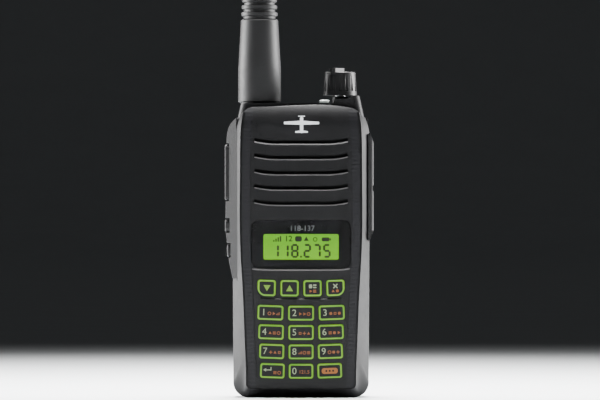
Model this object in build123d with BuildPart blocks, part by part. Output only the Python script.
"""Handheld aviation radio, built up from its separate pieces.

Frame: millimetres, +Z up, the front faces -Y, +X is to the right of someone facing the front.
The origin is the middle of the base that the radio stands on.
"""
import os

from build123d import *

os.makedirs("parts", exist_ok=True)

# ---------------------------------------------------------------- driving sizes
body_width = 52.7  # across the sides at the shoulders
base_width = 51.8  # across the sides just above the bottom corners
body_depth = 26.7  # front face to the back of the battery
seam_height = 107.2  # where the top housing sits on the case
panel_height = 112.1  # top of the front panel, at its middle
top_flat_half = 17.0  # the top line stays nearly level out to here
corner_width = 5.8  # bottom corners, across
corner_height = 6.8  # bottom corners, up
shoulder_z = 97.0  # where the sides start to round in
wall = 1.8  # walls of the case and the battery
battery_depth = 10.8  # battery, front to back
battery_height = 92.0

front_y = -body_depth / 2
back_y = body_depth / 2
case_back_y = back_y - battery_depth - 0.15  # rim of the case, clear of the battery
face_inner_y = front_y + wall
rim_y = front_y + 6.4  # where the sides start to slope in to the front panel
slope_y = front_y + 0.45  # where the slope meets the raised front panel
panel_bottom = 3.4  # bottom edge of the front panel
panel_base_half = 21.0  # half widths of the front panel, from the bottom up
panel_waist_half = 22.1
panel_chest_half = 23.3
panel_top_half = 22.1
panel_top_z = 109.0  # where the panel's sides end
crown_z = 103.5  # where the panel starts to curve back
crown_back = 3.3  # how far back it curves at its top
groove_width = 0.8
groove_depth = 0.7
band_width = 3.0  # textured band inside the groove
band_line = 0.3  # fine line on its inner side
screw_x = 20.4  # chassis screws
screw_low_z = 6.0
screw_high_z = 102.6
nose_z = 55.5  # hollow behind the front panel
nose_width = 39.6
nose_height = 99.0

fit = 0.15  # all-round clearance of a button in its opening
slide_gap = 0.2  # clearance beside sliding rails and tabs
chassis_thickness = 1.5
chassis_front_y = case_back_y - chassis_thickness

slot_count = 5
slot_pitch = 5.83
slot_top_z = 96.6
slot_half = 17.9
slot_flat = 9.5
slot_rise = 1.0
slot_height = 1.4
lip_height = 1.0
lip_stand = 0.7
lip_slope = 0.5  # how far the upper edge of a lip is cut back

window_width = 38.0
window_height = 18.5
window_z = 58.75
window_thickness = 1.1
view_width = 31.0
view_height = 12.6
view_z = 57.9

key_travel = 0.8
key_stand = 0.75  # how far a key stands out of the panel
key_flange = 0.45  # how far the flange reaches past the key
key_rows = 4
key_pitch = 7.4
key_top_z = 32.4
key_height = 5.4
key_width = 9.6
key_spread = 11.7
menu_key_width = 6.7
menu_key_height = 5.9
menu_key_pitch = 8.77
menu_key_z = 41.9
key_corner_r = 1.0
outer_corner_r = 3.0  # outer bottom corners of the row of menu keys
divider_z = 37.75  # thin raised line between the menu keys and the number keys
key_front_y = front_y - key_stand
key_back_y = face_inner_y + 1.9
mat_front_y = key_back_y + key_travel + 0.1
mat_thickness = 0.8
board_thickness = 1.0
front_board_y = mat_front_y + mat_thickness + board_thickness + 0.05

side_y = -4.6  # middle of the jack cover, front to back
button_y = -3.25  # middle of the side buttons, front to back
side_width = 6.6
pad_front_y = -9.8
pad_width = 11.0
pad_slope_x = -24.3  # the front of the pad slopes back from here out to its outer face
pad_slope_y = -5.6
pad_low_z = 45.6
pad_high_z = 107.0
talk_low_z = 75.6
talk_high_z = 96.9
talk_out = 2.9  # how far the talk button stands out past the side wall
upper_key_z = 65.85
lower_key_z = 56.3
side_key_length = 4.8

cover_width = 9.0
cover_low_z = 63.9
cover_high_z = 100.8
cover_root_z = 60.2
cover_out = 1.4
cover_sunk = 0.55
cover_recess_top_z = 101.1
speaker_jack_z = 90.0
speaker_jack_r = 1.8
mic_jack_z = 78.0
mic_jack_r = 1.3
jack_length = 14.0

antenna_x = -15.95
antenna_y = 1.0
antenna_foot_z = 113.1
antenna_foot_r = 8.2
antenna_length = 186.0
antenna_ring_z = 145.2
antenna_ring_pitch = 2.65
antenna_ring_count = 11
lug_z = 117.0
lug_r = 1.0
lug_reach = 5.6
jack_barrel_r = 4.8
jack_low_z = 105.6  # antenna jack, from its foot to its rim
jack_flange_z = 109.8
jack_flange_r = 5.4
jack_floor_z = 110.0
jack_top_z = 120.4
jack_bore_r = 3.3
pin_low_z = 113.0  # centre pin of the antenna, and the disc that holds it
pin_r = 0.62
pin_disc_z = 121.7
plug_top_z = 123.0
sheath_bore_r = 6.65
foot_top_z = 126.0  # the sheath's foot narrows from here to its neck
neck_z = 144.6
neck_r = 7.15
bayonet_turn = 90.0
bayonet_rise = 1.6
bayonet_steps = 24

knob_x = 15.05
knob_y = 1.0
knob_low_z = 115.75
knob_height = 8.95
knob_r = 6.5
knob_top_r = 5.85
knob_flutes = 16
shaft_r = 2.0
bushing_r = 3.0
control_low_z = 105.7  # body of the volume control
bushing_low_z = 110.6
shaft_low_z = 106.4

top_level_z = 112.7
shelf_z = 114.3
tower_z = 115.5
top_back_y = 11.5
top_front_y = front_y + 4.35
lens_x = 8.95
lens_width = 3.8

rail_x = 16.0
rail_low_z = 12.0
rail_high_z = 88.0
latch_half = 6.0
latch_travel = 1.5

clip_half = 9.0
clip_axis_y = back_y + 5.2
clip_axis_z = 99.0
clip_thickness = 1.8
clip_low_z = 44.0
clip_pin_r = 1.0
clip_screw_x = 6.5
clip_screw_z = 102.2


# ---------------------------------------------------------------- shared helpers
def front_plane(y):
    """Sketch plane at depth y that looks out of the front: local x is X, local y is Z."""
    return Plane.XZ.offset(-y)


def side_plane(x):
    """Sketch plane at x that looks to the right: local x is Y, local y is Z."""
    return Plane.YZ.offset(x)


def finish(piece, name):
    """Label a finished piece and write its file."""
    piece.label = name
    export_step(piece, f"parts/{name}.step")


def side_half(z):
    """Half the width of the case at height z, along its straight side."""
    return base_width / 2 + (body_width - base_width) / 2 * (z - corner_height) / (shoulder_z - corner_height)


def body_outline(y, shrink=0.0):
    """Silhouette of the case at depth y: bottom corners, sides, shoulders and arched top."""
    base = base_width / 2 - shrink
    shoulder = body_width / 2 - shrink
    top = panel_height - shrink
    with BuildSketch(front_plane(y)) as outline:
        with BuildLine():
            foot = base - corner_width + shrink * 0.4
            low = corner_height
            Line((-foot, shrink), (foot, shrink))
            ThreePointArc((foot, shrink), (foot + (base - foot) * 0.73, low * 0.27 + shrink * 0.73), (base, low))
            Line((base, low), (shoulder, shoulder_z))
            ThreePointArc((shoulder, shoulder_z), (shoulder - 0.45, 102.7), (shoulder - 2.0, seam_height + 0.3))
            Line((shoulder - 2.0, seam_height + 0.3), (shoulder - 4.8, top - 2.3))
            Spline((shoulder - 4.8, top - 2.3), (top_flat_half, top - 0.6), (0, top), (-top_flat_half, top - 0.6),
                   (4.8 - shoulder, top - 2.3), tangents=[(-1, 0.8), (-1, -0.8)])
            Line((4.8 - shoulder, top - 2.3), (2.0 - shoulder, seam_height + 0.3))
            ThreePointArc((2.0 - shoulder, seam_height + 0.3), (0.45 - shoulder, 102.7), (-shoulder, shoulder_z))
            Line((-shoulder, shoulder_z), (-base, low))
            ThreePointArc((-base, low), (-foot - (base - foot) * 0.73, low * 0.27 + shrink * 0.73), (-foot, shrink))
        make_face()
    return outline.sketch


def panel_outline(y, inset=0.0):
    """Edge of the front panel at depth y: narrow at the bottom, flared out beside the display."""
    low = panel_bottom + inset
    top = panel_height - 0.5 - inset
    base = panel_base_half - inset
    waist = panel_waist_half - inset
    chest = panel_chest_half - inset
    high = panel_top_half - inset
    with BuildSketch(front_plane(y)) as outline:
        with BuildLine():
            right_points = [(base, low + 2.0), (base + 0.45, 20), (waist, 37), (chest, 60), (chest, 91), (high, panel_top_z)]
            left_points = [(-x, z) for x, z in reversed(right_points)]
            Line((2.0 - base, low), (base - 2.0, low))
            ThreePointArc((base - 2.0, low), (base - 0.6, low + 0.6), (base, low + 2.0))
            Spline(*right_points, tangents=[(0, 1), (-0.25, 1)])
            Spline((high, panel_top_z), (top_flat_half, top - 0.6), (0, top), (-top_flat_half, top - 0.6), (-high, panel_top_z),
                   tangents=[(-1, 1.6), (-1, -1.6)])
            Spline(*left_points, tangents=[(-0.25, -1), (0, -1)])
            ThreePointArc((-base, low + 2.0), (0.6 - base, low + 0.6), (2.0 - base, low))
        make_face()
    return outline.sketch


def smile(y, z, half, flat, rise, width):
    """Traced line across the panel: level in the middle, with both ends curving up."""
    with BuildSketch(front_plane(y)) as line:
        with BuildLine():
            Line((-flat, z), (flat, z))
            TangentArc((flat, z), (half, z + rise), tangent=(1, 0))
            TangentArc((-flat, z), (-half, z + rise), tangent=(-1, 0))
        trace(line_width=width)
    return line.sketch


def raise_lip(case, z, half, flat, rise, height, stand, slope):
    """Raise a lip across the panel and cut its upper edge back to a slope."""
    extrude(smile(front_y, z, half, flat, rise, height), amount=stand)
    chamfer(case.edges().filter_by(lambda e: abs(e.center().Y - front_y + stand) < 0.01 and e.length > 2 * height
                                   and z + 0.3 * rise < e.center().Z < z + height / 2 + rise), slope)


def key_shape(y, key, grow=0.0):
    """Outline of one front key at depth y, grown all round by grow."""
    name, x, z, width, height, tilt, big_corner = key
    with BuildSketch(front_plane(y)) as shape:
        with Locations(Location((x, z, 0), (0, 0, tilt))):
            Rectangle(width + 2 * grow, height + 2 * grow)
        corners = shape.vertices().sort_by(Axis.X)
        outermost = -1 if big_corner > 0 else 0
        if big_corner:
            corners.pop(outermost)
        fillet(corners, key_corner_r)
        if big_corner:
            fillet(shape.vertices().sort_by(Axis.X)[outermost], outer_corner_r + grow)
    return shape.sketch


def key_table():
    """Name, middle, size, tilt and round corner of each of the sixteen front keys."""
    keys = []
    for column, name in enumerate(["down", "up", "memory", "clear"]):
        offset = column - 1.5
        lift = 0.12 * (abs(offset) - 0.5)
        corner = {0: -1, 3: 1}.get(column, 0)
        keys.append((name, offset * menu_key_pitch, menu_key_z + lift, menu_key_width, menu_key_height,
                     1.2 * offset, corner))
    names = [["1", "2", "3"], ["4", "5", "6"], ["7", "8", "9"], ["enter", "0", "function"]]
    for row in range(key_rows):
        for column in range(3):
            side = column - 1
            keys.append((names[row][column], side * (key_spread - 0.25 * row), key_top_z - key_pitch * row
                         + 0.2 * abs(side), key_width - 0.17 * row, key_height, 2.0 * side, 0))
    return keys


front_keys = key_table()
side_buttons = [
    ("ptt_button", (talk_low_z + talk_high_z) / 2, talk_high_z - talk_low_z, talk_out),
    ("side_key_upper", upper_key_z, side_key_length, 2.95),
    ("side_key_lower", lower_key_z, side_key_length, 2.2),
]

screw_places = [(side * screw_x, z) for side in (-1, 1) for z in (screw_low_z, screw_high_z)]

# ---------------------------------------------------------------- front case
with BuildPart() as front_case:
    extrude(body_outline(case_back_y), amount=case_back_y - rim_y)
    loft([body_outline(rim_y), panel_outline(slope_y)], ruled=True)
    # raised panel inside the slope, with the groove that runs round it
    extrude(panel_outline(slope_y, groove_width), amount=slope_y - front_y)
    with BuildSketch(front_plane(slope_y)) as groove:
        add(panel_outline(slope_y, 0.05))
        add(panel_outline(slope_y, groove_width), mode=Mode.SUBTRACT)
    extrude(groove.sketch, amount=-groove_depth, mode=Mode.SUBTRACT)
    # pad that carries the side buttons
    with BuildSketch(front_plane(pad_front_y)) as pad:
        with BuildLine():
            pad_face = -side_half(70) - 2.75
            Polyline((-24.8, pad_low_z), (-26.3, pad_low_z + 0.1), (-27.6, 52.0), (-28.3, 58.0),
                     (pad_face, 64.5), (pad_face, 71.0), (pad_face + 0.4, 98.0))
            Spline((pad_face + 0.4, 98.0), (-27.8, 103.2), (-24.8, pad_high_z),
                   tangents=[(0.05, 1), (1, 0.75)])
            Line((-24.8, pad_high_z), (-24.8, pad_low_z))
        make_face()
    extrude(pad.sketch, amount=-pad_width)
    with BuildSketch(Plane.XY.offset(pad_low_z - 1)) as pad_slope:
        with BuildLine():
            Polyline((pad_slope_x, pad_front_y), (-side_half(70) - 2.9, pad_slope_y), (-40, pad_slope_y),
                     (-40, pad_front_y - 1), (pad_slope_x, pad_front_y - 1), close=True)
        make_face()
    extrude(pad_slope.sketch, amount=pad_high_z - pad_low_z + 2, mode=Mode.SUBTRACT)
    # the top of the panel curves back
    with BuildSketch(side_plane(-body_width)) as crown:
        with BuildLine():
            TangentArc((front_y, crown_z), (front_y + crown_back, panel_height + 0.5), tangent=(0, 1))
            Polyline((front_y + crown_back, panel_height + 0.5), (front_y - 1, panel_height + 0.5),
                     (front_y - 1, crown_z), (front_y, crown_z))
        make_face()
    extrude(crown.sketch, amount=2 * body_width, mode=Mode.SUBTRACT)
    # fine line along the inner side of the textured band
    with BuildSketch(front_plane(front_y)) as band:
        add(panel_outline(front_y, groove_width + band_width))
        add(panel_outline(front_y, groove_width + band_width + band_line), mode=Mode.SUBTRACT)
        with Locations((0, panel_height / 2)):
            Rectangle(30, panel_height + 10, mode=Mode.SUBTRACT)
        with Locations((0, panel_height)):
            Rectangle(80, 8, mode=Mode.SUBTRACT)
    extrude(band.sketch, amount=-0.25, mode=Mode.SUBTRACT)
    # upper rear corner makes room for the top housing
    with Locations((0, top_front_y, seam_height)):
        Box(80, 40, 20, align=(Align.CENTER, Align.MIN, Align.MIN), mode=Mode.SUBTRACT)
    # inside
    with BuildSketch(front_plane(case_back_y)) as cavity:
        add(body_outline(case_back_y, wall))
        with Locations((0, seam_height - wall)):
            Rectangle(80, 30, align=(Align.CENTER, Align.MIN), mode=Mode.SUBTRACT)
    extrude(cavity.sketch, amount=case_back_y - rim_y, mode=Mode.SUBTRACT)
    with BuildSketch(front_plane(rim_y)) as nose:
        with Locations((0, nose_z)):
            RectangleRounded(nose_width, nose_height, 3.0)
    extrude(nose.sketch, amount=rim_y - face_inner_y, mode=Mode.SUBTRACT)
    with Locations((0, (case_back_y + top_front_y + 2.4) / 2, seam_height - wall)):
        Box(42, case_back_y - top_front_y - 2.4, 2 * wall + 0.2, mode=Mode.SUBTRACT)
    # speaker slots over their raised lips
    for slot in range(slot_count):
        slot_z = slot_top_z - slot * slot_pitch
        slot_line = smile(front_y, slot_z + lip_height / 2 + slot_height / 2 - 0.1, slot_half, slot_flat,
                          slot_rise, slot_height)
        extrude(slot_line, amount=-wall, mode=Mode.SUBTRACT)
        raise_lip(front_case, slot_z, slot_half, slot_flat, slot_rise, lip_height, lip_stand, lip_slope)
    # display: seat for the window, opening behind it and the light lip below
    with BuildSketch(front_plane(front_y)) as window_seat:
        with Locations((0, window_z)):
            RectangleRounded(window_width + 2 * fit, window_height + 2 * fit, 3.0)
    extrude(window_seat.sketch, amount=-window_thickness - 0.15, mode=Mode.SUBTRACT)
    with BuildSketch(front_plane(front_y)) as view:
        with Locations((0, view_z)):
            RectangleRounded(view_width, view_height, 1.5)
    extrude(view.sketch, amount=-wall, mode=Mode.SUBTRACT)
    raise_lip(front_case, window_z - window_height / 2 - 0.95, window_width / 2 - 0.4, 11, 0.5, 1.1, lip_stand,
              lip_slope)
    # thin divider over the number keys
    raise_lip(front_case, divider_z, 15.4, 7, 0.35, 0.6, 0.5, 0.4)
    # key openings
    for key in front_keys:
        extrude(key_shape(front_y - 1, key, fit), amount=-wall - 1, mode=Mode.SUBTRACT)
    # side button recesses and openings
    with Locations((-side_half(86) - 1.3, button_y, (talk_low_z + talk_high_z) / 2)):
        Box(6, pad_width + 4, talk_high_z - talk_low_z + 0.9, align=(Align.MAX, Align.CENTER, Align.CENTER),
            mode=Mode.SUBTRACT)
    for key_z, floor_out in ((upper_key_z, 1.2), (lower_key_z, 0.8)):
        with Locations((-side_half(60) - floor_out, button_y, key_z)):
            Box(6, pad_width + 4, side_key_length + 0.8, align=(Align.MAX, Align.CENTER, Align.CENTER),
                mode=Mode.SUBTRACT)
    for name, button_z, button_length, button_out in side_buttons:
        with BuildSketch(side_plane(-body_width / 2 - 5)) as opening:
            with Locations((button_y, button_z)):
                RectangleRounded(side_width + 2 * fit, button_length + 2 * fit, 1.5 + fit)
        extrude(opening.sketch, amount=5 + wall + 0.8, mode=Mode.SUBTRACT)
        with Locations((wall + 0.1 - body_width / 2, button_y, button_z)):
            Box(5.0, side_width + 2.0, button_length + 1.4, align=(Align.MIN, Align.CENTER, Align.CENTER),
                mode=Mode.SUBTRACT)
    # recess and jack openings under the cover
    with BuildSketch(front_plane(side_y - cover_width / 2 - 0.3)) as recess:
        with BuildLine():
            recess_x = side_half(80) - cover_sunk - slide_gap
            Polyline((recess_x, cover_root_z - 0.1), (recess_x + 3, cover_root_z - 0.1),
                     (recess_x + 3, cover_recess_top_z + 0.3), (recess_x, cover_recess_top_z), close=True)
        make_face()
    extrude(recess.sketch, amount=-cover_width - 0.6, mode=Mode.SUBTRACT)
    for jack_z, jack_r in ((speaker_jack_z, 2.8), (mic_jack_z, 2.4)):
        with BuildSketch(side_plane(body_width / 2 + 1)) as jack_hole:
            with Locations((side_y, jack_z)):
                Circle(jack_r + 0.05)
        extrude(jack_hole.sketch, amount=-11, mode=Mode.SUBTRACT)
    # bosses for the chassis screws
    with BuildSketch(front_plane(chassis_front_y - 0.05)) as bosses:
        with Locations(*screw_places):
            Circle(2.6)
            Circle(1.1, mode=Mode.SUBTRACT)
    extrude(bosses.sketch, amount=chassis_front_y - 0.05 - rim_y + 0.3)
    # opening for the battery latch
    with Locations((0, case_back_y, 0)):
        Box(2 * latch_half + 2 * slide_gap, 3.5 + latch_travel + slide_gap, 2 * wall + 0.2,
            align=(Align.CENTER, Align.MAX, Align.CENTER), mode=Mode.SUBTRACT)
finish(front_case.part, "front_case")

# ---------------------------------------------------------------- top housing
with BuildPart() as top_housing:
    with BuildSketch(front_plane(top_front_y + 0.1)) as profile:
        with BuildLine():
            edge = body_width / 2 - 2.15
            Polyline((-edge, seam_height + 0.02), (edge, seam_height + 0.02), (edge - 1.8, tower_z),
                     (edge - 4.6, tower_z), (17.5, shelf_z), (13.0, shelf_z), (12.3, top_level_z),
                     (1.2 - edge, top_level_z), close=True)
        make_face()
    extrude(profile.sketch, amount=-(top_back_y - top_front_y - 0.1))
    front_corners = top_housing.edges().filter_by(
        lambda e: e.center().Y < top_front_y + 0.11 and abs(e.center().X) > edge - 2.2 and e.length > 4
        and abs(e.tangent_at(0.5).Z) > 0.9)
    fillet(front_corners, 2.8)
    back_rims = top_housing.edges().filter_by(
        lambda e: e.center().Y > top_back_y - 0.01 and e.center().Z > seam_height + 0.5)
    fillet(back_rims, 0.45)
    with Locations((0, (top_back_y + top_front_y) / 2, seam_height)):
        Box(43.0, top_back_y - top_front_y - 2 * wall, 7.4, mode=Mode.SUBTRACT)
    with BuildSketch(Plane.XY.offset(tower_z + 1)) as top_holes:
        with Locations((antenna_x, antenna_y)):
            Circle(jack_barrel_r + 0.1)
        with Locations((knob_x, knob_y)):
            Circle(bushing_r + 0.1)
        with Locations((lens_x, side_y)):
            RectangleRounded(lens_width + 0.1, 5.1, 1.2)
    extrude(top_holes.sketch, amount=-10, mode=Mode.SUBTRACT)
finish(top_housing.part, "top_housing")

# ---------------------------------------------------------------- chassis
with BuildPart() as chassis:
    with BuildSketch(front_plane(case_back_y)) as plate:
        add(body_outline(case_back_y, wall + fit))
        with Locations((0, seam_height - wall - fit)):
            Rectangle(80, 30, align=(Align.CENTER, Align.MIN), mode=Mode.SUBTRACT)
        with Locations((0, 0)):
            Rectangle(2 * latch_half + 4, 8.0, mode=Mode.SUBTRACT)
    extrude(plate.sketch, amount=chassis_thickness)
    # block above the battery, which carries the belt clip
    with Locations((0, case_back_y, battery_height + slide_gap)):
        Box(body_width - 1.2, back_y - 0.1 - case_back_y, seam_height - battery_height - slide_gap,
            align=(Align.CENTER, Align.MIN, Align.MIN))
    block_rims = chassis.edges().filter_by(Axis.Z).filter_by(lambda e: e.center().Y > back_y - 0.2)
    fillet(block_rims, 2.6)
    with Locations((0, chassis_front_y, battery_height + 2)):
        Box(44.0, back_y - chassis_front_y - wall - 0.1, seam_height - battery_height - 2 - 2 * wall,
            align=(Align.CENTER, Align.MIN, Align.MIN), mode=Mode.SUBTRACT)
    # room for the feet of the antenna jack and the volume control
    with Locations((0, chassis_front_y, seam_height - wall)):
        Box(43.0, 8.0, 2 * wall, align=(Align.CENTER, Align.MIN, Align.MIN), mode=Mode.SUBTRACT)
    # rails for the battery
    for side in (-1, 1):
        with BuildSketch(Plane.XY.offset(rail_low_z)) as rail:
            with Locations((side * rail_x, case_back_y)):
                Rectangle(1.2, 1.3, align=(Align.CENTER, Align.MIN))
            with Locations((side * rail_x, case_back_y + 1.2)):
                Rectangle(2.8, 1.0, align=(Align.CENTER, Align.MIN))
        extrude(rail.sketch, amount=rail_high_z - rail_low_z)
    # counterbored screw holes
    with BuildSketch(front_plane(case_back_y)) as heads:
        with Locations(*screw_places):
            Circle(2.1)
    extrude(heads.sketch, amount=chassis_thickness - 0.5, mode=Mode.SUBTRACT)
    with BuildSketch(front_plane(case_back_y)) as shanks:
        with Locations(*screw_places):
            Circle(1.1)
    extrude(shanks.sketch, amount=chassis_thickness, mode=Mode.SUBTRACT)
    # tapped holes for the belt clip
    with BuildSketch(front_plane(back_y)) as clip_holes:
        with Locations((-clip_screw_x, clip_screw_z), (clip_screw_x, clip_screw_z)):
            Circle(1.3)
    extrude(clip_holes.sketch, amount=wall + 0.2, mode=Mode.SUBTRACT)
    # pocket for the battery terminals
    with Locations((0, case_back_y, 16)):
        Box(15.2, 1.0, 8.2, align=(Align.CENTER, Align.MAX, Align.CENTER), mode=Mode.SUBTRACT)
finish(chassis.part, "chassis")

with BuildPart() as chassis_screws:
    with BuildSketch(front_plane(case_back_y - 0.1)):
        with Locations(*screw_places):
            Circle(1.9)
            RegularPolygon(0.9, 6, mode=Mode.SUBTRACT)
    extrude(amount=0.4)
    with BuildSketch(front_plane(case_back_y - 0.5)):
        with Locations(*screw_places):
            Circle(1.9)
    extrude(amount=chassis_thickness - 0.5 - 0.5)
    with BuildSketch(front_plane(chassis_front_y + 0.6)):
        with Locations(*screw_places):
            Circle(1.0)
    extrude(amount=6.0)
finish(chassis_screws.part, "chassis_screws")

with BuildPart() as battery_terminals:
    with BuildSketch(front_plane(case_back_y + 0.05)):
        with Locations((-5, 16), (0, 16), (5, 16)):
            RectangleRounded(2.4, 7.0, 0.8)
    extrude(amount=1.05)
finish(battery_terminals.part, "battery_terminals")

# ---------------------------------------------------------------- display
with BuildPart() as display_window:
    with BuildSketch(front_plane(front_y + 0.1 + window_thickness)):
        with Locations((0, window_z)):
            RectangleRounded(window_width, window_height, 3.0 - fit)
    extrude(amount=window_thickness)
    fillet(display_window.faces().sort_by(Axis.Y)[0].edges(), 0.25)
finish(display_window.part, "display_window")

lcd_front_y = face_inner_y + 0.05
with BuildPart() as lcd_panel:
    with BuildSketch(front_plane(lcd_front_y + 1.4)):
        with Locations((0, view_z)):
            RectangleRounded(view_width + 3, view_height + 3, 0.8)
    extrude(amount=1.4)
finish(lcd_panel.part, "lcd_panel")

with BuildPart() as light_guide:
    with BuildSketch(front_plane(front_board_y - board_thickness - 0.05)):
        with Locations((0, view_z)):
            Rectangle(view_width + 4, view_height + 4)
    extrude(amount=front_board_y - board_thickness - 0.05 - lcd_front_y - 1.45)
finish(light_guide.part, "light_guide")

# ---------------------------------------------------------------- keypad
for key in front_keys:
    with BuildPart() as front_key:
        extrude(key_shape(key_back_y, key), amount=key_back_y - key_front_y)
        fillet(front_key.faces().sort_by(Axis.Y)[0].edges(), 0.3)
        extrude(key_shape(key_back_y, key, key_flange), amount=key_back_y - face_inner_y - 0.1)
    finish(front_key.part, f"key_{key[0]}")

with BuildPart() as keypad_mat:
    with BuildSketch(front_plane(mat_front_y + mat_thickness)):
        with Locations((0, 26.6)):
            RectangleRounded(38.0, 39.0, 2.0)
    extrude(amount=mat_thickness)
finish(keypad_mat.part, "keypad_mat")

with BuildPart() as front_board:
    with BuildSketch(front_plane(front_board_y)):
        with Locations((0, 38.4)):
            Rectangle(38.6, 58.8)
    extrude(amount=board_thickness)
finish(front_board.part, "front_board")

main_board_y = chassis_front_y - 1.4
with BuildPart() as main_board:
    with BuildSketch(front_plane(main_board_y)):
        with Locations((0, 54)):
            Rectangle(42.0, 88.0)
    extrude(amount=board_thickness)
finish(main_board.part, "main_board")

with BuildPart() as shield_cans:
    with BuildSketch(front_plane(main_board_y - board_thickness)):
        with Locations((-9, 24), (10, 44), (-9, 56)):
            RectangleRounded(17, 18, 0.8)
    extrude(amount=2.2)
    fillet(shield_cans.faces().group_by(Axis.Y)[0].edges(), 0.4)
finish(shield_cans.part, "shield_cans")

# ---------------------------------------------------------------- loudspeaker and microphone
speaker_z = slot_top_z - slot_pitch * (slot_count - 1) / 2
cloth_y = face_inner_y + 0.35
with BuildPart() as speaker_cloth:
    with BuildSketch(front_plane(cloth_y)):
        with Locations((0, speaker_z + 0.5)):
            RectangleRounded(38.4, 27.6, 2.0)
    extrude(amount=0.3)
finish(speaker_cloth.part, "speaker_cloth")

with BuildPart() as speaker_frame:
    with BuildSketch(front_plane(cloth_y + 2.4)):
        with Locations((0, speaker_z)):
            Circle(13.6)
            Circle(12.2, mode=Mode.SUBTRACT)
    extrude(amount=2.3)
    with BuildSketch(front_plane(cloth_y + 3.4)):
        with Locations((0, speaker_z)):
            Circle(13.6)
    extrude(amount=1.0)
    with BuildSketch(front_plane(cloth_y + 5.6)):
        with Locations((0, speaker_z)):
            Circle(6.5)
    extrude(amount=2.2)
finish(speaker_frame.part, "speaker_frame")

with BuildPart() as speaker_cone:
    with BuildSketch(front_plane(cloth_y + 2.3)):
        with Locations((0, speaker_z)):
            Circle(5.0)
    with BuildSketch(front_plane(cloth_y + 0.5)):
        with Locations((0, speaker_z)):
            Circle(12.1)
    loft()
finish(speaker_cone.part, "speaker_cone")

with BuildPart() as microphone:
    with BuildSketch(front_plane(cloth_y + 2.4)):
        with Locations((-16.6, 73.4)):
            Circle(2.0)
    extrude(amount=2.3)
finish(microphone.part, "microphone")

# ---------------------------------------------------------------- side buttons
for name, button_z, button_length, button_out in side_buttons:
    with BuildPart() as side_button:
        outer_x = -side_half(button_z) - button_out
        inner_x = -body_width / 2 + wall + 0.35
        with BuildSketch(side_plane(outer_x)) as button_face:
            with Locations((button_y, button_z)):
                RectangleRounded(side_width, button_length, 1.5)
        extrude(button_face.sketch, amount=inner_x + 0.7 - outer_x)
        fillet(side_button.faces().sort_by(Axis.X)[0].edges(), 0.6)
        with BuildSketch(side_plane(inner_x)) as button_flange:
            with Locations((button_y, button_z)):
                RectangleRounded(side_width + 1.4, button_length + 1.0, 1.8)
        extrude(button_flange.sketch, amount=0.7)
        if name == "ptt_button":
            with Locations(*[Location((outer_x + 0.1, button_y, z), (90, 0, 0)) for z in (82.4, 85.7, 88.5, 91.8)]):
                Cylinder(0.45, side_width - 2.4)
    finish(side_button.part, name)

# ---------------------------------------------------------------- jack cover and jacks
cover_inner_x = side_half(80) - cover_sunk
cover_outer_x = body_width / 2 + cover_out
with BuildPart() as jack_cover:
    with BuildSketch(front_plane(side_y - cover_width / 2)) as cover_side:
        with BuildLine():
            Polyline((cover_inner_x, cover_low_z), (cover_outer_x, cover_low_z), (cover_outer_x, cover_high_z - 3.4),
                     (cover_outer_x - 1.0, cover_high_z), (cover_inner_x, cover_high_z), close=True)
        make_face()
    extrude(cover_side.sketch, amount=-cover_width)
    fillet(jack_cover.edges().filter_by(lambda e: e.center().X > cover_outer_x - 0.01
                                        and abs(e.center().Y - side_y) > cover_width / 2 - 0.01), 1.3)
    with Locations((cover_outer_x, side_y, 80.1)):
        Box(0.7, cover_width + 1, 2.2, mode=Mode.SUBTRACT)
finish(jack_cover.part, "jack_cover")

with BuildPart() as jack_cover_root:
    with BuildSketch(front_plane(side_y - cover_width / 2)) as root_side:
        with BuildLine():
            Polyline((cover_inner_x, cover_root_z), (cover_inner_x + 0.6, cover_root_z),
                     (cover_outer_x, cover_low_z - 0.2), (cover_inner_x, cover_low_z - 0.2), close=True)
        make_face()
    extrude(root_side.sketch, amount=-cover_width)
finish(jack_cover_root.part, "jack_cover_root")

jack_mouth_x = side_half(80) - cover_sunk - slide_gap
for name, jack_z, bore_r, body_r in (("speaker_jack", speaker_jack_z, speaker_jack_r, 2.8),
                                     ("mic_jack", mic_jack_z, mic_jack_r, 2.4)):
    with BuildPart() as audio_jack:
        with BuildSketch(side_plane(jack_mouth_x - 0.05)) as jack_round:
            with Locations((side_y, jack_z)):
                Circle(body_r)
        extrude(jack_round.sketch, amount=-jack_length - 1)
        with BuildSketch(side_plane(jack_mouth_x)) as jack_bore:
            with Locations((side_y, jack_z)):
                Circle(bore_r)
        extrude(jack_bore.sketch, amount=-jack_length, mode=Mode.SUBTRACT)
    finish(audio_jack.part, name)

# ---------------------------------------------------------------- volume control
with BuildPart() as volume_control:
    with Locations((knob_x, knob_y, control_low_z)):
        Box(11.0, 11.0, 5.0, align=(Align.CENTER, Align.CENTER, Align.MIN))
    with BuildSketch(Plane.XY.offset(bushing_low_z)):
        with Locations((knob_x, knob_y)):
            Circle(bushing_r)
    extrude(amount=knob_low_z - 0.5 - bushing_low_z)
    with BuildSketch(Plane.XY.offset(shaft_low_z - 0.1)):
        with Locations((knob_x, knob_y)):
            Circle(shaft_r + 0.05)
    extrude(amount=12, mode=Mode.SUBTRACT)
finish(volume_control.part, "volume_control")

with BuildPart() as volume_shaft:
    with BuildSketch(Plane.XY.offset(shaft_low_z)):
        with Locations((knob_x, knob_y)):
            Circle(shaft_r)
    extrude(amount=knob_low_z + 6.3 - shaft_low_z)
finish(volume_shaft.part, "volume_shaft")

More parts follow.
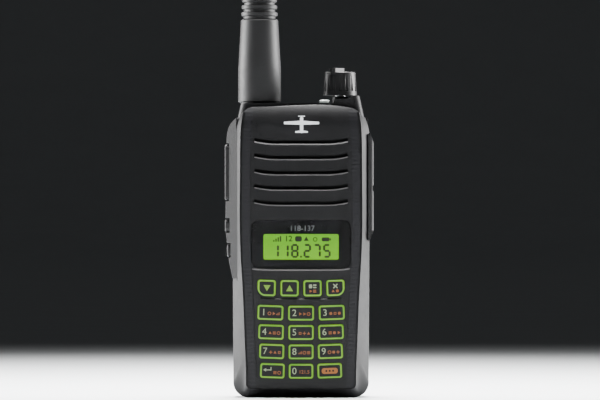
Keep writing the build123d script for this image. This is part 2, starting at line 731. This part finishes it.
with BuildPart() as volume_knob:
    with BuildSketch(Plane.XY.offset(knob_low_z)):
        with Locations((knob_x, knob_y)):
            Circle(knob_r)
    with BuildSketch(Plane.XY.offset(knob_low_z + knob_height)):
        with Locations((knob_x, knob_y)):
            Circle(knob_top_r)
    loft()
    with BuildSketch(Plane.XY.offset(knob_low_z + 1.6)) as flutes:
        with Locations((knob_x, knob_y)):
            with PolarLocations(knob_r + 0.15, knob_flutes):
                Circle(0.75)
    extrude(flutes.sketch, amount=knob_height, mode=Mode.SUBTRACT)
    fillet(volume_knob.faces().sort_by(Axis.Z)[-1].edges(), 0.35)
    # raised pointer across the top
    with BuildSketch(Plane.XY.offset(knob_low_z + knob_height - 1.0)) as pointer:
        with Locations(Location((knob_x - 1.2, knob_y - 1.6, 0), (0, 0, 60))):
            SlotOverall(8.6, 2.6)
    extrude(pointer.sketch, amount=2.5)
    with BuildSketch(Plane.XY.offset(knob_low_z)) as knob_bore:
        with Locations((knob_x, knob_y)):
            Circle(shaft_r)
    extrude(knob_bore.sketch, amount=6.3, mode=Mode.SUBTRACT)
finish(volume_knob.part, "volume_knob")

with BuildPart() as status_lens:
    with BuildSketch(Plane.XY.offset(top_level_z - 1.7)):
        with Locations((lens_x, side_y)):
            RectangleRounded(lens_width, 5.0, 1.1)
    extrude(amount=2.9)
    fillet(status_lens.faces().sort_by(Axis.Z)[-1].edges(), 0.5)
finish(status_lens.part, "status_lens")

# ---------------------------------------------------------------- antenna
antenna_axis = Axis((antenna_x, antenna_y, 0), (0, 0, 1))
antenna_plane = Plane(origin=(antenna_x, antenna_y, 0), x_dir=(1, 0, 0), z_dir=(0, -1, 0))
plug_r = jack_barrel_r + 0.2

with BuildPart() as antenna_jack:
    with BuildSketch(antenna_plane):
        with BuildLine():
            Polyline((0, jack_low_z), (jack_barrel_r, jack_low_z), (jack_barrel_r, jack_flange_z),
                     (jack_flange_r, jack_flange_z), (jack_flange_r, jack_flange_z + 1.0),
                     (jack_barrel_r, jack_flange_z + 1.0), (jack_barrel_r, jack_top_z), (jack_bore_r, jack_top_z),
                     (jack_bore_r, jack_floor_z), (0, jack_floor_z), close=True)
        make_face()
    revolve(axis=antenna_axis)
    with Locations(Location((antenna_x, antenna_y, lug_z), (0, 90, 0))):
        Cylinder(lug_r, 2 * lug_reach)
    with BuildSketch(Plane.XY.offset(jack_floor_z)) as jack_core:
        with Locations((antenna_x, antenna_y)):
            Circle(jack_bore_r)
    extrude(jack_core.sketch, amount=12, mode=Mode.SUBTRACT)
    # socket for the centre pin
    with BuildSketch(Plane.XY.offset(jack_floor_z)) as centre_socket:
        with Locations((antenna_x, antenna_y)):
            Circle(1.5)
            Circle(0.75, mode=Mode.SUBTRACT)
    extrude(centre_socket.sketch, amount=8.0)
finish(antenna_jack.part, "antenna_jack")

with BuildPart() as antenna_seal:
    with BuildSketch(Plane.XY.offset(top_level_z)):
        with Locations((antenna_x, antenna_y)):
            Circle(7.4)
            Circle(jack_barrel_r + 0.3, mode=Mode.SUBTRACT)
    extrude(amount=antenna_foot_z - top_level_z - 0.05)
finish(antenna_seal.part, "antenna_seal")

with BuildPart() as antenna_plug_shell:
    with BuildSketch(Plane.XY.offset(antenna_foot_z + 0.3)):
        with Locations((antenna_x, antenna_y)):
            Circle(6.6)
            Circle(plug_r, mode=Mode.SUBTRACT)
    extrude(amount=8.2)
    # ramps that the lugs of the jack follow, then straight ways out at the bottom
    ramp = []
    for step in range(bayonet_steps + 1):
        share = step / bayonet_steps
        ramp.append((-bayonet_turn * share, lug_z - bayonet_rise * share))
    ramp += [(-bayonet_turn, lug_z - bayonet_rise - drop) for drop in (0.8, 1.6, 2.4)]
    for turn, ramp_z in ramp:
        with Locations(Location((antenna_x, antenna_y, ramp_z), (0, 90, 0)) if turn == 0 else
                       Plane(origin=(antenna_x, antenna_y, ramp_z),
                             z_dir=Vector(1, 0, 0).rotate(Axis.Z, turn)).location):
            Cylinder(lug_r + 0.2, 2 * (lug_reach + 0.25), mode=Mode.SUBTRACT)
finish(antenna_plug_shell.part, "antenna_plug_shell")

with BuildPart() as antenna_pin:
    with BuildSketch(antenna_plane):
        with BuildLine():
            Polyline((0, pin_low_z), (pin_r, pin_low_z + 0.6), (pin_r, pin_disc_z), (sheath_bore_r - 0.15, pin_disc_z),
                     (sheath_bore_r - 0.15, plug_top_z), (0, plug_top_z), close=True)
        make_face()
    revolve(axis=antenna_axis)
finish(antenna_pin.part, "antenna_pin")

antenna_top_z = antenna_foot_z + antenna_length
ring_end_z = antenna_ring_z + antenna_ring_pitch * antenna_ring_count
tip_r = 3.9
with BuildPart() as antenna_sheath:
    with BuildSketch(antenna_plane):
        with BuildLine():
            outer = [(sheath_bore_r, antenna_foot_z), (antenna_foot_r - 0.3, antenna_foot_z),
                     (antenna_foot_r, antenna_foot_z + 0.4), (antenna_foot_r, foot_top_z), (neck_r, neck_z)]
            for ring in range(antenna_ring_count):
                ring_z = antenna_ring_z + antenna_ring_pitch * ring
                ring_r = 7.0 - 0.16 * ring
                outer += [(ring_r - 0.75, ring_z), (ring_r - 0.75, ring_z + 0.85),
                          (ring_r, ring_z + 1.15), (ring_r, ring_z + antenna_ring_pitch - 0.3)]
            outer += [(5.0, ring_end_z), (tip_r, antenna_top_z - tip_r)]
            Polyline(*outer)
            CenterArc((0, antenna_top_z - tip_r), tip_r, 0, 90)
            Polyline((0, antenna_top_z), (0, antenna_top_z - 8), (2.5, antenna_top_z - 8), (2.5, plug_top_z),
                     (sheath_bore_r, plug_top_z), (sheath_bore_r, antenna_foot_z))
        make_face()
    revolve(axis=antenna_axis)
finish(antenna_sheath.part, "antenna_sheath")

with BuildPart() as antenna_core:
    with BuildSketch(Plane.XY.offset(plug_top_z)):
        with Locations((antenna_x, antenna_y)):
            Circle(2.45)
    extrude(amount=antenna_top_z - 8.5 - plug_top_z)
finish(antenna_core.part, "antenna_core")

# ---------------------------------------------------------------- battery
battery_front_y = back_y - battery_depth
lid_y = back_y - 1.6
with BuildPart() as battery_case:
    with BuildSketch(front_plane(lid_y)) as block:
        add(body_outline(lid_y, 0.15))
        with Locations((0, battery_height)):
            Rectangle(80, 60, align=(Align.CENTER, Align.MIN), mode=Mode.SUBTRACT)
        with Locations((0, 0)):
            Rectangle(40, 0.3, align=(Align.CENTER, Align.MIN))
    extrude(block.sketch, amount=lid_y - battery_front_y)
    with Locations((0, lid_y, battery_height / 2)):
        Box(46.6, lid_y - battery_front_y - 3.4, battery_height - 2 * wall - 2,
            align=(Align.CENTER, Align.MAX, Align.CENTER), mode=Mode.SUBTRACT)
    # grooves that ride on the rails, open at the top
    for side in (-1, 1):
        with BuildSketch(Plane.XY.offset(rail_low_z - 0.3)) as rail_groove:
            with Locations((side * rail_x, battery_front_y - 0.2)):
                Rectangle(1.2 + 2 * slide_gap, 1.4, align=(Align.CENTER, Align.MIN))
            with Locations((side * rail_x, case_back_y + 1.2 - slide_gap)):
                Rectangle(2.8 + 2 * slide_gap, 1.0 + 2 * slide_gap, align=(Align.CENTER, Align.MIN))
        extrude(rail_groove.sketch, amount=battery_height, mode=Mode.SUBTRACT)
    # shallow seat for the contacts
    with Locations((0, battery_front_y, 16)):
        Box(16.0, 0.5, 9.0, align=(Align.CENTER, Align.MIN, Align.CENTER), mode=Mode.SUBTRACT)
finish(battery_case.part, "battery_case")

with BuildPart() as battery_contacts:
    with Locations((-5, battery_front_y + 0.05, 16), (0, battery_front_y + 0.05, 16), (5, battery_front_y + 0.05, 16)):
        Box(3.0, 0.45, 8.0, align=(Align.CENTER, Align.MIN, Align.CENTER))
finish(battery_contacts.part, "battery_contacts")

with BuildPart() as battery_cover:
    with BuildSketch(front_plane(back_y)) as lid:
        add(body_outline(back_y, 0.15))
        with Locations((0, battery_height)):
            Rectangle(80, 60, align=(Align.CENTER, Align.MIN), mode=Mode.SUBTRACT)
    extrude(lid.sketch, amount=back_y - lid_y)
    fillet(battery_cover.faces().sort_by(Axis.Y)[-1].edges(), 1.3)
finish(battery_cover.part, "battery_cover")

with BuildPart() as battery_cells:
    with Locations((-11.6, lid_y - 0.2, 46), (11.6, lid_y - 0.2, 46)):
        Box(22.4, 5.2, 78.0, align=(Align.CENTER, Align.MAX, Align.CENTER))
    fillet(battery_cells.edges().filter_by(Axis.Z), 1.6)
finish(battery_cells.part, "battery_cells")

with BuildPart() as battery_latch:
    with Locations((0, case_back_y - 0.1, 0.3)):
        Box(2 * latch_half, 3.3, wall - 0.4, align=(Align.CENTER, Align.MAX, Align.MIN))
    with Locations((0, case_back_y - chassis_thickness - 0.3, 0.3)):
        Box(2 * latch_half - 1.0, 1.6, 2.4, align=(Align.CENTER, Align.MAX, Align.MIN))
    with Locations((0, case_back_y - chassis_thickness - 0.3, wall + 0.1)):
        Box(2 * latch_half + 2.4, 1.6, 0.9, align=(Align.CENTER, Align.MAX, Align.MIN))
finish(battery_latch.part, "battery_latch")

# ---------------------------------------------------------------- belt clip
clip_seat_y = back_y - 0.1
ear_thickness = 1.8
with BuildPart() as clip_base:
    with BuildSketch(front_plane(clip_seat_y + 1.6)) as clip_plate:
        with Locations((0, 99.6)):
            RectangleRounded(2 * (clip_half + 0.3 + ear_thickness), 13.6, 1.5)
    extrude(clip_plate.sketch, amount=1.6)
    for side in (-1, 1):
        ear_x = side * (clip_half + 0.3) if side > 0 else side * (clip_half + 0.3 + ear_thickness)
        with BuildSketch(side_plane(ear_x)) as ear:
            with Locations((clip_seat_y + 1.0, clip_axis_z)):
                Rectangle(clip_axis_y - clip_seat_y - 1.0, 6.0, align=(Align.MIN, Align.CENTER))
            with Locations((clip_axis_y, clip_axis_z)):
                Circle(3.0)
                Circle(clip_pin_r, mode=Mode.SUBTRACT)
        extrude(ear.sketch, amount=ear_thickness)
    with BuildSketch(front_plane(clip_seat_y + 2.0)) as clip_screw_holes:
        with Locations((-clip_screw_x, clip_screw_z), (clip_screw_x, clip_screw_z)):
            Circle(1.35)
    extrude(clip_screw_holes.sketch, amount=3, mode=Mode.SUBTRACT)
finish(clip_base.part, "clip_base")

with BuildPart() as clip_screws:
    with BuildSketch(front_plane(clip_seat_y + 2.5)):
        with Locations((-clip_screw_x, clip_screw_z), (clip_screw_x, clip_screw_z)):
            Circle(2.0)
    extrude(amount=0.9)
    with BuildSketch(front_plane(clip_seat_y + 1.7)):
        with Locations((-clip_screw_x, clip_screw_z), (clip_screw_x, clip_screw_z)):
            Circle(1.25)
    extrude(amount=1.7 + wall)
finish(clip_screws.part, "clip_screws")

with BuildPart() as clip_pin:
    with BuildSketch(side_plane(-clip_half - 0.3 - ear_thickness)):
        with Locations((clip_axis_y, clip_axis_z)):
            Circle(clip_pin_r)
    extrude(amount=2 * (clip_half + 0.3 + ear_thickness))
finish(clip_pin.part, "clip_pin")

with BuildPart() as clip_arm:
    with BuildSketch(side_plane(-clip_half)) as arm_side:
        with BuildLine():
            arm_y = clip_axis_y + 1.6
            Polyline((arm_y, clip_axis_z + 7.0), (arm_y, clip_low_z + 15.0), (back_y + 1.6, clip_low_z + 5.0),
                     (back_y + 3.2, clip_low_z + 0.5))
        trace(line_width=clip_thickness)
        with Locations((clip_axis_y, clip_axis_z)):
            Circle(2.5)
    extrude(arm_side.sketch, amount=2 * clip_half)
    with BuildSketch(side_plane(-clip_half)) as arm_bore:
        with Locations((clip_axis_y, clip_axis_z)):
            Circle(clip_pin_r + 0.05)
    extrude(arm_bore.sketch, amount=2 * clip_half, mode=Mode.SUBTRACT)
    fillet(clip_arm.edges().filter_by(Axis.Y).filter_by(lambda e: e.length > 1.7 and e.length < 1.9), 0.6)
finish(clip_arm.part, "clip_arm")
